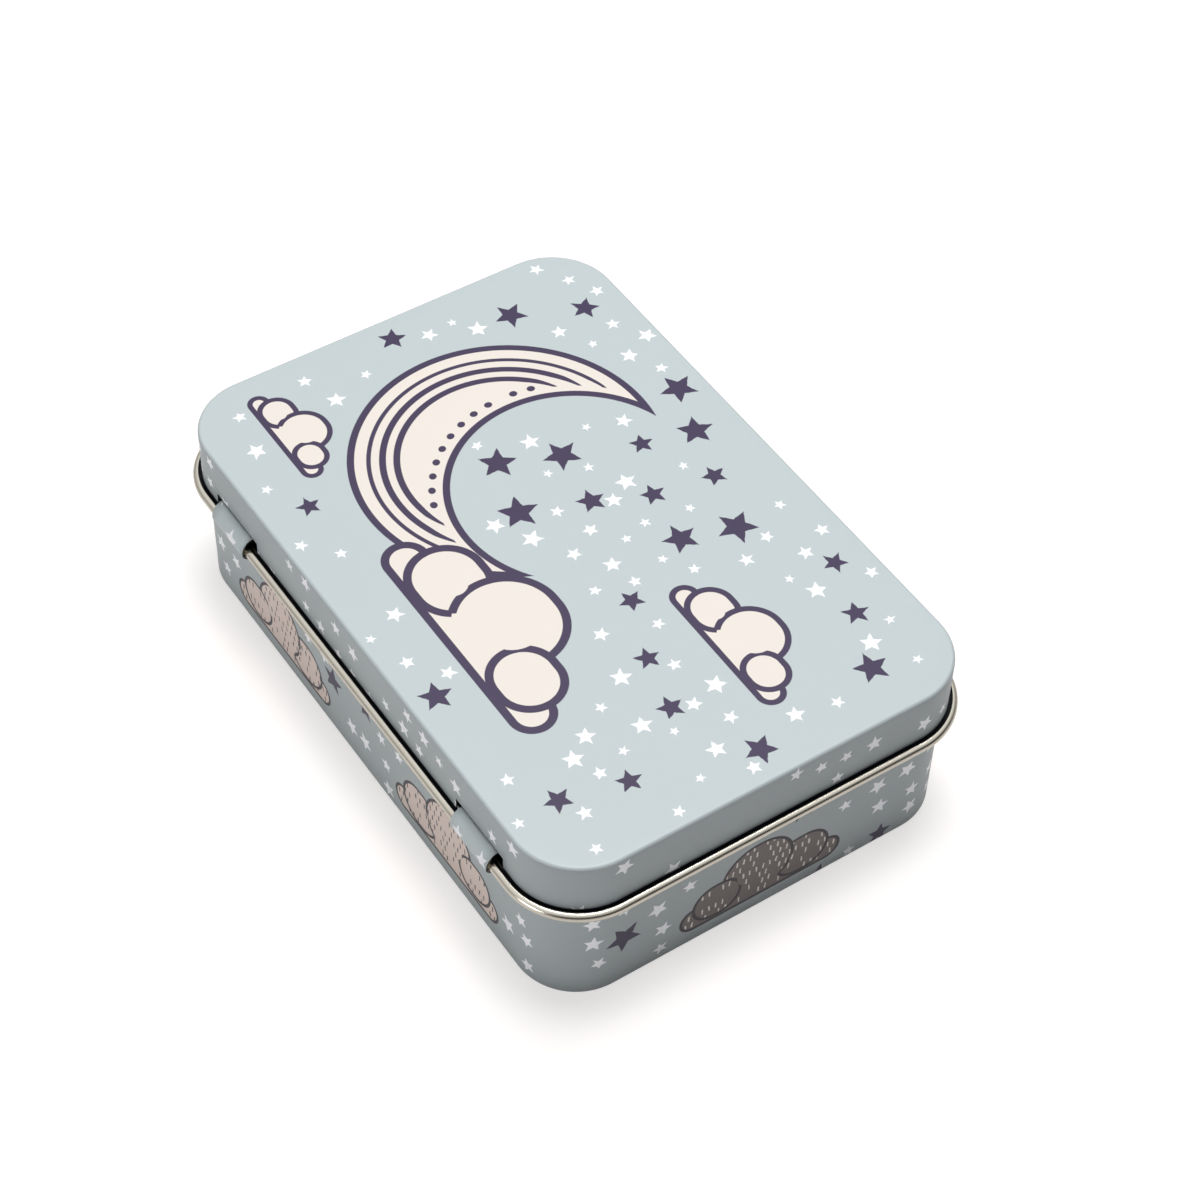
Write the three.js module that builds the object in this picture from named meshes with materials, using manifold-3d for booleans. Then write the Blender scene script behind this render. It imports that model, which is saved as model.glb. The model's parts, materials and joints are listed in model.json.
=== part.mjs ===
// Hinged trinket tin: two drawn tinplate pressings, millimetres, +Z up, hinge at the back (+Y).
// Section coordinates are (offset, height): offset is measured outward from the lid's outer wall face.
import * as THREE from "three";
import { mergeVertices } from "three/addons/utils/BufferGeometryUtils.js";
import Module from "manifold-3d";

const wasm = await Module();
wasm.setup();

// Outline and height of the closed tin, over the lid
const LID_LENGTH = 115;
const LID_WIDTH = 78;
const CORNER_RADIUS = 11.4;
const TIN_HEIGHT = 33.1;

// Sheet and drawn edges, as radii of the outer face
const SHEET = 0.28;
const LID_EDGE_RADIUS = 0.65;
const BASE_EDGE_RADIUS = 0.6;

// Curl at the bottom edge of the lid, as the radius of the sheet's middle and the angle it is rolled
const CURL_AXIS_HEIGHT = 22.5;
const CURL_RADIUS = 0.775;
const CURL_SWEEP = THREE.MathUtils.degToRad(245);

// Rim of the base, rolled inward, and the room over it under the closed lid
const HEM_RADIUS = 0.5;
const HEM_SWEEP = THREE.MathUtils.degToRad(270);
const SEAT_CLEARANCE = 0.3;

// Hinge tabs of the base, and the slots of the lid that they pass through
const TAB_WIDTH = 10.1;
const TAB_SPACING = 73.8;
const TAB_CLEARANCE = 0.2;
const TAB_WRAP_START = THREE.MathUtils.degToRad(-40);
const TAB_RISE = 2.6;
const TAB_TUCK = 0.75;
const TAB_TUCK_END = THREE.MathUtils.degToRad(175);
const FLARE_DROP = 3.2;
const FLARE_EASE = 1.3;
const TAB_ROOT = 0.6;
const TAB_RELIEF = 0.35;
const SLOT_SIDE_CLEARANCE = 1.5;
const SLOT_SILL = 0.3;
const SLOT_HEADROOM = 0.3;

// Window of the base wall behind each tab: its wide upper part, so that the slot opens into the tin
const WINDOW_SIDE = 1.75;
const WINDOW_DROP = 0.5;

// Room that the lid's front edge needs while it swings, besides its own path
const SWING_CLEARANCE = 0.08;

// Facets of a quarter corner of the outline and of one radian of a bend
const CORNER_FACETS = 10;
const BEND_FACETS = 4;

// Heights and offsets that follow from the sizes above
const baseTop = TIN_HEIGHT - SHEET - SEAT_CLEARANCE;
const hemHeight = baseTop - HEM_RADIUS - SHEET / 2;
const swing = (hemHeight - CURL_AXIS_HEIGHT) ** 2 / (2 * LID_WIDTH);
const wallGap = swing + SWING_CLEARANCE;
const lidMiddle = -SHEET / 2;
const baseMiddle = lidMiddle - SHEET - wallGap;
const curlOffset = lidMiddle + CURL_RADIUS;
const curlOuterRadius = CURL_RADIUS + SHEET / 2;
const tabRadius = curlOuterRadius + TAB_CLEARANCE + SHEET / 2;
const slotTop = CURL_AXIS_HEIGHT + TAB_RISE + SHEET / 2 + SLOT_HEADROOM;
const backWall = LID_WIDTH / 2;

const printedTin = new THREE.MeshStandardMaterial({ color: 0xc8d5d7, roughness: 0.42, metalness: 0.15 });
const printedLid = new THREE.MeshStandardMaterial({ color: 0xcdd9da, roughness: 0.4, metalness: 0.15 });

/** Points of an arc of the sheet's middle, from one angle to another about a centre. */
function arc(x, y, radius, from, to) {
  const curve = new THREE.EllipseCurve(x, y, radius, radius, from, to, to < from);
  return curve.getPoints(Math.ceil(BEND_FACETS * Math.abs(to - from)));
}

/** Closed outline of a sheet of even thickness whose middle follows the points: left face, then right. */
function sheetOutline(middle) {
  const left = [];
  const right = [];
  middle.forEach((point, i) => {
    const before = middle[Math.max(i - 1, 0)];
    const after = middle[Math.min(i + 1, middle.length - 1)];
    const into = (i > 0 ? point.clone().sub(before) : after.clone().sub(point)).normalize();
    const out = (i < middle.length - 1 ? after.clone().sub(point) : into.clone()).normalize();
    const normal = new THREE.Vector2(-into.y - out.y, into.x + out.x).normalize();
    const mitre = SHEET / 2 / (normal.x * -into.y + normal.y * into.x);
    left.push(point.clone().addScaledVector(normal, mitre));
    right.push(point.clone().addScaledVector(normal, -mitre));
  });
  return { left, right };
}

/** Stations round the lid's outline, anticlockwise from above, each a place and its outward normal. */
function outlineStations() {
  const stations = [];
  const cornerX = LID_LENGTH / 2 - CORNER_RADIUS;
  const cornerY = LID_WIDTH / 2 - CORNER_RADIUS;
  for (let corner = 0; corner < 4; corner += 1) {
    const centre = new THREE.Vector2(corner % 3 === 0 ? cornerX : -cornerX, corner < 2 ? cornerY : -cornerY);
    for (let step = 0; step <= CORNER_FACETS; step += 1) {
      const angle = (corner + step / CORNER_FACETS) * (Math.PI / 2);
      const normal = new THREE.Vector2(Math.cos(angle), Math.sin(angle));
      stations.push({ place: centre.clone().addScaledVector(normal, CORNER_RADIUS), normal });
    }
  }
  return stations;
}

/** Drawn cup: a sheet section swept round the outline, with its first end closed by two flat panels. */
function drawnCup(middle) {
  const { left, right } = sheetOutline(middle);
  const section = [...left, ...right.reverse()];
  const stations = outlineStations();
  const positions = [];
  stations.forEach(({ place, normal }) => {
    section.forEach((point) => {
      positions.push(place.x + normal.x * point.x, place.y + normal.y * point.x, point.y);
    });
  });
  const index = [];
  const ring = section.length;
  stations.forEach((_, i) => {
    const here = i * ring;
    const next = ((i + 1) % stations.length) * ring;
    for (let j = 0; j < ring - 1; j += 1) {
      index.push(here + j, here + j + 1, next + j);
      index.push(next + j, here + j + 1, next + j + 1);
    }
  });
  [0, ring - 1].forEach((point) => {
    const centre = positions.length / 3;
    positions.push(0, 0, section[point].y);
    stations.forEach((_, i) => {
      const here = i * ring + point;
      const next = ((i + 1) % stations.length) * ring + point;
      index.push(centre, ...(point === 0 ? [here, next] : [next, here]));
    });
  });
  const geometry = new THREE.BufferGeometry();
  geometry.setAttribute("position", new THREE.Float32BufferAttribute(positions, 3));
  geometry.setIndex(index);
  return geometry;
}

/** Solid of a closed geometry, ready to be cut and joined. */
function solid(geometry) {
  const bare = geometry.clone();
  bare.deleteAttribute("normal");
  bare.deleteAttribute("uv");
  const merged = mergeVertices(bare);
  const vertProperties = new Float32Array(merged.attributes.position.array);
  const triVerts = new Uint32Array(merged.index.array);
  return new wasm.Manifold(new wasm.Mesh({ numProp: 3, vertProperties, triVerts }));
}

/** Named mesh of a finished solid. */
function meshOf(name, body, material) {
  const { vertProperties, triVerts } = body.getMesh();
  const geometry = new THREE.BufferGeometry();
  geometry.setAttribute("position", new THREE.BufferAttribute(vertProperties, 3));
  geometry.setIndex(new THREE.BufferAttribute(triVerts, 1));
  geometry.computeVertexNormals();
  const mesh = new THREE.Mesh(geometry, material);
  mesh.name = name;
  return mesh;
}

/** Block for a cut through the back wall, centred on a hinge tab, between two offsets and two heights. */
function backBlock(centreX, width, inner, outer, bottom, top) {
  const block = new THREE.BoxGeometry(width, outer - inner, top - bottom);
  block.translate(centreX, backWall + (inner + outer) / 2, (bottom + top) / 2);
  return solid(block);
}

/** Middle of the lid's sheet: from the flat top over the edge, down the wall and round the curl. */
function lidMiddleLine() {
  const bend = LID_EDGE_RADIUS;
  return [
    ...arc(-bend, TIN_HEIGHT - bend, bend - SHEET / 2, Math.PI / 2, 0),
    ...arc(curlOffset, CURL_AXIS_HEIGHT, CURL_RADIUS, Math.PI, Math.PI + CURL_SWEEP),
  ];
}

/** Middle of the base's sheet: from the flat bottom round the edge, up the wall and round the hem. */
function baseMiddleLine() {
  const bend = BASE_EDGE_RADIUS;
  const wall = baseMiddle + SHEET / 2;
  return [
    ...arc(wall - bend, bend, bend - SHEET / 2, -Math.PI / 2, 0),
    ...arc(baseMiddle - HEM_RADIUS, hemHeight, HEM_RADIUS, 0, HEM_SWEEP),
  ];
}

/** Middle of a hinge tab's hook: close under the lid's curl, up over it on an oval and down behind the slot. */
function hookMiddleLine() {
  const under = arc(curlOffset, CURL_AXIS_HEIGHT, tabRadius, TAB_WRAP_START, 0);
  const reach = curlOffset + tabRadius - lidMiddle;
  const over = new THREE.EllipseCurve(lidMiddle, CURL_AXIS_HEIGHT, reach, TAB_RISE, 0, Math.PI / 2);
  const tuck = arc(lidMiddle, CURL_AXIS_HEIGHT + TAB_RISE - TAB_TUCK, TAB_TUCK, Math.PI / 2, TAB_TUCK_END);
  return [...under, ...over.getPoints(3 * BEND_FACETS).slice(1), ...tuck.slice(1)];
}

/** Middle of a hinge tab's sheet: up the base wall, flaring out, then hooked round the lid's curl. */
function tabMiddleLine() {
  const root = new THREE.Vector2(baseMiddle, CURL_AXIS_HEIGHT - FLARE_DROP);
  const hook = hookMiddleLine();
  const run = new THREE.Vector2(-Math.sin(TAB_WRAP_START), Math.cos(TAB_WRAP_START));
  const flare = new THREE.CubicBezierCurve(
    root,
    new THREE.Vector2(root.x, root.y + FLARE_EASE),
    hook[0].clone().addScaledVector(run, -FLARE_EASE),
    hook[0],
  );
  const foot = new THREE.Vector2(root.x, root.y - TAB_ROOT);
  return [foot, ...flare.getPoints(2 * BEND_FACETS), ...hook.slice(1)];
}

/** Hinge tab as a solid, extruded along the hinge and centred on its place. */
function hingeTab(centreX) {
  const { left, right } = sheetOutline(tabMiddleLine());
  const shape = new THREE.Shape([...left, ...right.reverse()]);
  const tab = new THREE.ExtrudeGeometry(shape, { depth: TAB_WIDTH, bevelEnabled: false, steps: 1 });
  const along = new THREE.Vector3(0, 1, 0);
  const up = new THREE.Vector3(0, 0, 1);
  tab.applyMatrix4(new THREE.Matrix4().makeBasis(along, up, new THREE.Vector3(1, 0, 0)));
  tab.translate(centreX - TAB_WIDTH / 2, backWall, 0);
  return solid(tab);
}

const tabPlaces = [-TAB_SPACING / 2, TAB_SPACING / 2];

/** Lid: drawn cup with the curl, and a slot over the curl for each hinge tab. */
function lid() {
  let body = solid(drawnCup(lidMiddleLine()));
  const slotWidth = TAB_WIDTH + 2 * SLOT_SIDE_CLEARANCE;
  tabPlaces.forEach((x) => {
    const slot = backBlock(x, slotWidth, -2 * SHEET, SHEET, CURL_AXIS_HEIGHT + SLOT_SILL, slotTop);
    body = body.subtract(slot);
  });
  return meshOf("lid", body, printedLid);
}

/** Top of the window that a tab leaves in the base wall: as far up as the tab's sheet reached while flat. */
function windowTop() {
  const line = tabMiddleLine();
  const length = line.slice(1).reduce((sum, point, i) => sum + point.distanceTo(line[i]), -TAB_ROOT);
  return CURL_AXIS_HEIGHT - FLARE_DROP + length;
}

/** Base: drawn cup with the hem, a window behind each hinge tab, and the tabs on its back wall. */
function base() {
  let body = solid(drawnCup(baseMiddleLine()));
  const inner = baseMiddle - SHEET;
  const outer = baseMiddle + SHEET;
  const bottom = CURL_AXIS_HEIGHT - FLARE_DROP;
  const top = windowTop();
  tabPlaces.forEach((x) => {
    const narrow = backBlock(x, TAB_WIDTH + 2 * TAB_RELIEF, inner, outer, bottom, top);
    const wide = backBlock(x, TAB_WIDTH + 2 * WINDOW_SIDE, inner, outer, CURL_AXIS_HEIGHT - WINDOW_DROP, top);
    body = body.subtract(narrow).subtract(wide).add(hingeTab(x));
  });
  return meshOf("base", body, printedTin);
}

const tin = new THREE.Group();
tin.add(base(), lid());

export default tin;
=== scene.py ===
"""Looks of a hinged trinket tin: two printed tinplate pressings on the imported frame, in metres.

The lid and the base are each one sheet of tinplate. Its middle is a profile carried round a rounded
rectangle, cut where the hinge needs it and then given the sheet's thickness, so that the printed face,
the bare face and the cut edges are separate faces with their own finish.
"""

from __future__ import annotations

import functools
import json
import logging
import math
from dataclasses import dataclass, field
from enum import IntEnum

import bpy
import numpy as np
from mathutils import Matrix, Vector


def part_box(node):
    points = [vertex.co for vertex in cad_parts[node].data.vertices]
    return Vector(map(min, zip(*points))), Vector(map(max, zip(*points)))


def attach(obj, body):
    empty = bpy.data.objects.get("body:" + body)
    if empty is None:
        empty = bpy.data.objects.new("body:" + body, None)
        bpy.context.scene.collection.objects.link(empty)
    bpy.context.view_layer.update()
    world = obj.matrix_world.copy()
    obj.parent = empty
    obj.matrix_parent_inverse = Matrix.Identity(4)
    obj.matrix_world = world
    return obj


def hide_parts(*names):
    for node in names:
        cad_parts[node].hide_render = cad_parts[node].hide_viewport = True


logging.basicConfig(level=logging.INFO, format="%(levelname)s %(message)s")
log = logging.getLogger("trinket_tin")

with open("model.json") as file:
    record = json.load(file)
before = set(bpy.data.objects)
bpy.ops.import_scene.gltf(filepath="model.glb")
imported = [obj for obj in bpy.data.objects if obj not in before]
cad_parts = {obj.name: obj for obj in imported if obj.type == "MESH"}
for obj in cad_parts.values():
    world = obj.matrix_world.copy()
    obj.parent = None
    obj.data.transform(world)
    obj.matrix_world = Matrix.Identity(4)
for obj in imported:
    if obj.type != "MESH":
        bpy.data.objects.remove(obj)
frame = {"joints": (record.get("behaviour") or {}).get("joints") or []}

MM = 0.001
PRINT_MAP = "print"
Triple = tuple[float, float, float]
Colour = Triple
Socket = bpy.types.NodeSocket

# Half the width of a printed edge, and a distance past every motif, in millimetres
SOFT = 0.05
FAR = 100.0

# How far two values that count as the same may lie apart
NEAR = 1e-7


class Face(IntEnum):
    """Material slot of each kind of face on a pressing."""

    PRINTED = 0
    BARE = 1
    CUT = 2


class Wall(IntEnum):
    """Which way the printed face lies from the direction in which a profile runs."""

    PRINT_ON_LEFT = 1
    PRINT_ON_RIGHT = -1


def linear(red: int, green: int, blue: int) -> Colour:
    """Return the linear colour of three display values, each from 11 to 255."""
    return tuple((((c / 255) + 0.055) / 1.055) ** 2.4 for c in (red, green, blue))


def add_object(name: str, data: bpy.types.ID) -> bpy.types.Object:
    """Put a new object into the scene.

    Args:
        name: its name.
        data: what it shows.

    Returns:
        The object.
    """
    made = bpy.data.objects.new(name, data)
    bpy.context.scene.collection.objects.link(made)
    return made


# Shader maths

class Num:
    """A number that varies over a surface: it wraps a socket, and operators on it add Math nodes."""

    def __init__(self, graph: Graph, socket: Socket) -> None:
        """Keep the graph that new nodes go to and the socket that carries the number."""
        self.graph = graph
        self.socket = socket

    def math(self, operation: str, *others: Num | float) -> Num:
        """Return the result of a Math node of this number and up to two others."""
        made = self.graph.node("Math", dict(enumerate((self, *others))), operation=operation)
        return Num(self.graph, made.outputs[0])

    __add__ = __radd__ = functools.partialmethod(math, "ADD")
    __mul__ = __rmul__ = functools.partialmethod(math, "MULTIPLY")
    __sub__ = functools.partialmethod(math, "SUBTRACT")
    __truediv__ = functools.partialmethod(math, "DIVIDE")
    __mod__ = functools.partialmethod(math, "FLOORED_MODULO")
    __abs__ = functools.partialmethod(math, "ABSOLUTE")
    __lt__ = functools.partialmethod(math, "LESS_THAN")
    least = functools.partialmethod(math, "MINIMUM")
    most = functools.partialmethod(math, "MAXIMUM")

    def __neg__(self) -> Num:
        """Return the number with its sign turned."""
        return self * -1.0

    def __rsub__(self, other: float) -> Num:
        """Return a plain number less this one."""
        return -self + other

    def clamp(self) -> Num:
        """Return the number held between 0 and 1."""
        return self.most(0.0).least(1.0)

    def below(self, edge: Num | float, soft: float = SOFT) -> Num:
        """Return 1 under an edge and 0 over it, with a step between that is twice as wide as soft."""
        return ((self - edge) * (-0.5 / soft) + 0.5).clamp()


Plain = Num | float | Colour | Socket
Inputs = dict[str | int, Plain]


class Graph:
    """The node tree of a material or a world, with short ways to add nodes to it."""

    def __init__(self, owner: bpy.types.Material | bpy.types.World) -> None:
        """Empty the node tree of its owner.

        Args:
            owner: the material or the world.
        """
        owner.use_nodes = True
        self.owner = owner
        self.tree = owner.node_tree
        self.tree.nodes.clear()

    def node(self, kind: str, inputs: Inputs | None = None, **settings: object) -> bpy.types.Node:
        """Add a node.

        Args:
            kind: the node's type, without the prefix that all shader nodes share.
            inputs: values or links of its sockets, by name or place.
            settings: its properties, which are set first.

        Returns:
            The new node.
        """
        made = self.tree.nodes.new(f"ShaderNode{kind}")
        for key, value in settings.items():
            setattr(made, key, value)
        for key, value in (inputs or {}).items():
            socket = made.inputs[key]
            if isinstance(value, (Num, Socket)):
                self.tree.links.new(value.socket if isinstance(value, Num) else value, socket)
            elif socket.type == "RGBA":
                socket.default_value = (*value, 1.0)
            else:
                socket.default_value = value
        return made

    def place(self) -> Socket:
        """Return the place on the object, in metres."""
        return self.node("TexCoord").outputs["Object"]

    def ray(self, kind: str) -> Num:
        """Return 1 for rays of that kind and 0 for others."""
        return Num(self, self.node("LightPath").outputs[f"Is {kind} Ray"])

    def chance(self, cell: Socket) -> Socket:
        """Return three random numbers for each whole place on a plane."""
        return self.node("TexWhiteNoise", {"Vector": cell}, noise_dimensions="2D").outputs["Color"]

    def vector(self, operation: str, *args: Plain) -> Socket:
        """Return the vector of a Vector Math node."""
        return self.node("VectorMath", dict(enumerate(args)), operation=operation).outputs[0]

    def split(self, vector: Socket) -> tuple[Num, Num, Num]:
        """Return the three numbers of a vector."""
        made = self.node("SeparateXYZ", {0: vector})
        return tuple(Num(self, socket) for socket in made.outputs)

    def join(self, x: Num, y: Num) -> Socket:
        """Return a flat vector of two numbers."""
        return self.node("CombineXYZ", {0: x, 1: y}).outputs[0]

    def turn(self, vector: Socket, angle: float) -> Socket:
        """Return a flat vector turned about the origin."""
        inputs = {"Vector": vector, "Angle": angle}
        return self.node("VectorRotate", inputs, rotation_type="Z_AXIS").outputs[0]

    def hypot(self, x: Num, y: Num) -> Num:
        """Return the length of a flat vector of two numbers."""
        return (x * x + y * y).math("SQRT")

    def distance(self, point: Socket, x: float, y: float) -> Num:
        """Return how far a flat point lies from a fixed one."""
        made = self.node("VectorMath", {0: point, 1: (x, y, 0.0)}, operation="DISTANCE")
        return Num(self, made.outputs["Value"])

    def noise(self, point: Socket, scale: float, detail: float = 2.0) -> Num:
        """Return smooth noise about 0, from -0.5 to 0.5, with that many waves in a unit of the point."""
        inputs = {"Vector": point, "Scale": scale, "Detail": detail}
        return Num(self, self.node("TexNoise", inputs).outputs["Fac"]) - 0.5

    def paint(self, mask: Num, under: Plain, over: Plain) -> Socket:
        """Return one colour painted over another where the mask is 1."""
        return self.node("Mix", {0: mask, 6: under, 7: over}, data_type="RGBA").outputs[2]

    def bump(self, height: Num, distance: float, strength: float) -> Socket:
        """Return a normal that is tilted by a height in units of the distance."""
        inputs = {"Height": height, "Distance": distance, "Strength": strength}
        return self.node("Bump", inputs).outputs[0]

    def surface(self, inputs: Inputs) -> bpy.types.Material:
        """Finish the material with a Principled shader.

        Args:
            inputs: values or links of its sockets.

        Returns:
            The material.
        """
        shader = self.node("BsdfPrincipled", inputs)
        self.node("OutputMaterial", {"Surface": shader.outputs[0]})
        return self.owner


# Print on the sheet, in millimetres of the flat sheet before it is drawn

@dataclass(frozen=True)
class SheetPlan:
    """The flat sheet's layout: a panel with rounded corners, and walls folded out along its four edges."""

    edge_x: float
    edge_y: float
    corner: float
    wall_corner: float

    def down(self, graph: Graph, place: Socket) -> Num:
        """Return how far a place lies outside the panel, which is below 0 on the panel."""
        x, y, _ = graph.split(place)
        return (abs(x) - self.edge_x).most(abs(y) - self.edge_y)

    def seam(self, graph: Graph, place: Socket) -> Num:
        """Work out the room to the nearest cut in the print, where a star would be broken.

        Round a corner the print of a wall leaves that of the panel, and at the corner's middle the prints
        of two walls meet.

        Args:
            graph: the material's nodes.
            place: the place on the flat sheet.

        Returns:
            How far the place lies from the cut.
        """
        x, y, _ = graph.split(place)
        past_x = abs(x) - (self.edge_x - self.corner)
        past_y = abs(y) - (self.edge_y - self.corner)
        down = past_x.most(past_y) - self.corner
        into = past_x.least(past_y)
        on_panel = self.corner - graph.hypot(past_x, past_y) + (into < 0.0) * FAR
        on_wall = (self.wall_corner * math.pi / 4 - into).least(down.most(-into))
        return on_wall + (down < 0.0) * (on_panel - on_wall)


@dataclass(frozen=True)
class Stars:
    """The star of a field's cell: its edge, a random pick, its middle and how far its tips reach."""

    edge: Num
    pick: Num
    middle: Socket
    reach: Num


@dataclass(frozen=True)
class StarField:
    """A layer of stars, one to a cell of a turned grid, each moved, sized and turned at random."""

    cell: float
    shift: float
    smallest: float
    largest: float
    turn: float = 0.3
    waist: float = 0.46
    wobble: float = 0.3
    wobble_scale: float = 0.9
    points: int = 5
    spins: float = 40.0
    mix: tuple[float, float] = (7.31, 3.17)

    def at(self, graph: Graph, sheet: Socket) -> Stars:
        """Work out the star of the cell that a place on the flat sheet lies in.

        The angle about the star's middle is folded into half a point, and the distance is taken to the
        straight edge between a tip and the notch beside it, with a little noise as in a drawing by hand.

        Args:
            graph: the material's nodes.
            sheet: the place on the flat sheet.

        Returns:
            The star.
        """
        turned = graph.turn(sheet, self.turn)
        cells = graph.vector("MULTIPLY", turned, (1 / self.cell, 1 / self.cell, 0.0))
        corner = graph.vector("FLOOR", cells)
        chance = graph.chance(corner)
        spread = 2 * self.shift / self.cell
        start = (1 - spread) / 2
        moved = graph.vector("MULTIPLY_ADD", chance, (spread, spread, 0.0), (start, start, 0.0))
        middle = graph.vector("MULTIPLY", graph.vector("ADD", corner, moved), (self.cell, self.cell, 0.0))
        x, y, _ = graph.split(graph.vector("SUBTRACT", turned, middle))
        _, second, third = graph.split(chance)
        share = 2 * math.pi / self.points
        folded = abs((y.math("ARCTAN2", x) + third * self.spins) % share - share / 2)
        lean = math.atan2(1 - self.waist * math.cos(share / 2), self.waist * math.sin(share / 2))
        reach = third * (self.largest - self.smallest) + self.smallest
        straight = graph.hypot(x, y) * (folded - lean).math("COSINE") - reach * math.cos(lean)
        pick = (third * self.mix[0] + second * self.mix[1]) % 1.0
        edge = straight + graph.noise(sheet, self.wobble_scale) * self.wobble
        return Stars(edge, pick, graph.turn(middle, -self.turn), reach)


@dataclass(frozen=True)
class Pen:
    """How a motif is drawn: the colours of its lines and its filling, and the width of its outline."""

    ink: Plain
    fill: Plain
    line: float


@dataclass(frozen=True)
class Cloud:
    """A heap of round puffs on one long flat puff, each as (left, right, up, radius).

    A bend is the edge of one puff that runs on for a little way inside another, as far as a third hides it,
    by their places in the list.
    """

    puffs: tuple[tuple[float, float, float, float], ...] = (
        (1.0, 2.0, 8.6, 7.4), (-9.0, -7.6, 6.0, 5.4), (9.6, 10.8, 5.6, 4.8), (-14.0, 15.0, 3.2, 3.2),
    )
    bends: tuple[tuple[int, int, int], ...] = ((0, 1, 2), (2, 0, 1), (1, 3, 0), (2, 3, 1))
    bend_reach: float = 3.4
    least_line: float = 0.4

    def edges(self, graph: Graph, place: Socket, x: float, y: float, size: float) -> list[Num]:
        """Work out the puffs: how far a place lies from the line between a puff's ends, less its radius.

        Args:
            graph: the material's nodes.
            place: the place on the picture.
            x: the middle of the cloud's foot, across.
            y: the same, up.
            size: how many times the listed size it is.

        Returns:
            The signed distance to the edge of each puff, below 0 inside.
        """
        across, up, _ = graph.split(graph.vector("SUBTRACT", place, (x, y, 0.0)))
        found = []
        for left, right, height, radius in self.puffs:
            beyond = (abs(across - (left + right) / 2 * size) - (right - left) / 2 * size).most(0.0)
            found.append(graph.hypot(beyond, up - height * size) - radius * size)
        return found

    def whole(self, edges: list[Num]) -> Num:
        """Return the signed distance to the edge of the whole cloud."""
        return functools.reduce(Num.least, edges)

    def paint(self, graph: Graph, edges: list[Num], under: Plain, pen: Pen, size: float) -> Socket:
        """Paint the cloud with its outline and bends.

        Args:
            graph: the material's nodes.
            edges: the distance to the edge of each puff.
            under: the colour that the cloud lies on.
            pen: how it is drawn.
            size: how many times the listed size it is.

        Returns:
            The colour with the cloud.
        """
        line = pen.line * (self.least_line + (1 - self.least_line) * size)
        whole = self.whole(edges)
        drawn = []
        for front, back, cover in self.bends:
            depth = -edges[back]
            within = depth.below(self.bend_reach * size) * (1.0 - depth.below(line / 2))
            shown = within * (1.0 - edges[cover].below(-line / 2))
            drawn.append(abs(edges[front] + line / 2).below(line / 2) * shown)
        fill = graph.paint(functools.reduce(Num.most, drawn), pen.fill, pen.ink)
        colour = graph.paint(whole.below(0.0), under, pen.ink)
        return graph.paint(whole.below(-line), colour, fill)


@dataclass(frozen=True)
class Moon:
    """A crescent: a disc less a smaller one that is set to a side, with lines and beads inside it."""

    x: float = -19.0
    y: float = 1.5
    radius: float = 26.0
    bite_x: float = -7.5
    bite_y: float = 7.5
    bite_radius: float = 20.5
    lines: int = 3
    line_pitch: float = 2.3
    line_width: float = 0.56
    line_taper: float = 0.16
    bead_angle: float = 0.135
    bead_depth: float = 2.9
    bead_radius: float = 0.62

    def rounds(self, graph: Graph, place: Socket) -> tuple[Num, Num]:
        """Return the signed distances to the outer round and to the inner round."""
        outer = graph.distance(place, self.x, self.y) - self.radius
        return outer, graph.distance(place, self.bite_x, self.bite_y) - self.bite_radius

    def edge(self, graph: Graph, place: Socket) -> Num:
        """Return the signed distance to the crescent's edge, below 0 inside."""
        outer, inner = self.rounds(graph, place)
        return outer.most(-inner)

    def paint(self, graph: Graph, place: Socket, under: Plain, pen: Pen) -> Socket:
        """Paint the crescent with its outline, lines along its outer round and beads along its inner one.

        Args:
            graph: the material's nodes.
            place: the place on the picture.
            under: the colour that it lies on.
            pen: how it is drawn.

        Returns:
            The colour with the moon.
        """
        outer, inner = self.rounds(graph, place)
        edge = outer.most(-inner)
        colour = graph.paint(edge.below(0.0), under, pen.ink)
        colour = graph.paint(edge.below(-pen.line), colour, pen.fill)
        drawn = self.line_mask(edge, outer, pen.line).most(self.bead_mask(graph, place, outer, inner))
        return graph.paint(drawn, colour, pen.ink)

    def line_mask(self, edge: Num, outer: Num, outline: float) -> Num:
        """Draw the lines that follow the outer round and thin out towards the horns.

        Args:
            edge: the distance to the crescent's edge.
            outer: the distance to its outer round.
            outline: the width of its outline.

        Returns:
            The mask, 1 on a line.
        """
        depth = -outer - self.line_pitch
        band = abs(depth % self.line_pitch - self.line_pitch / 2)
        within = depth.below(self.line_pitch * self.lines) * (1.0 - depth.below(0.0))
        width = ((-edge - outline) * self.line_taper).least(self.line_width)
        return band.below(width) * within * edge.below(-2 * outline)

    def bead_mask(self, graph: Graph, place: Socket, outer: Num, inner: Num) -> Num:
        """Draw the round beads along the inner round, as far as they are clear of the lines.

        Args:
            graph: the material's nodes.
            place: the place on the picture.
            outer: the distance to the outer round.
            inner: the distance to the inner round.

        Returns:
            The mask, 1 on a bead.
        """
        x, y, _ = graph.split(graph.vector("SUBTRACT", place, (self.bite_x, self.bite_y, 0.0)))
        turned = y.math("ARCTAN2", x) % self.bead_angle
        around = (turned - self.bead_angle / 2) * self.bite_radius
        bead = graph.hypot(around, inner - self.bead_depth)
        clear = outer < -self.line_pitch * (self.lines + 1)
        return bead.below(self.bead_radius) * clear


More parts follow.
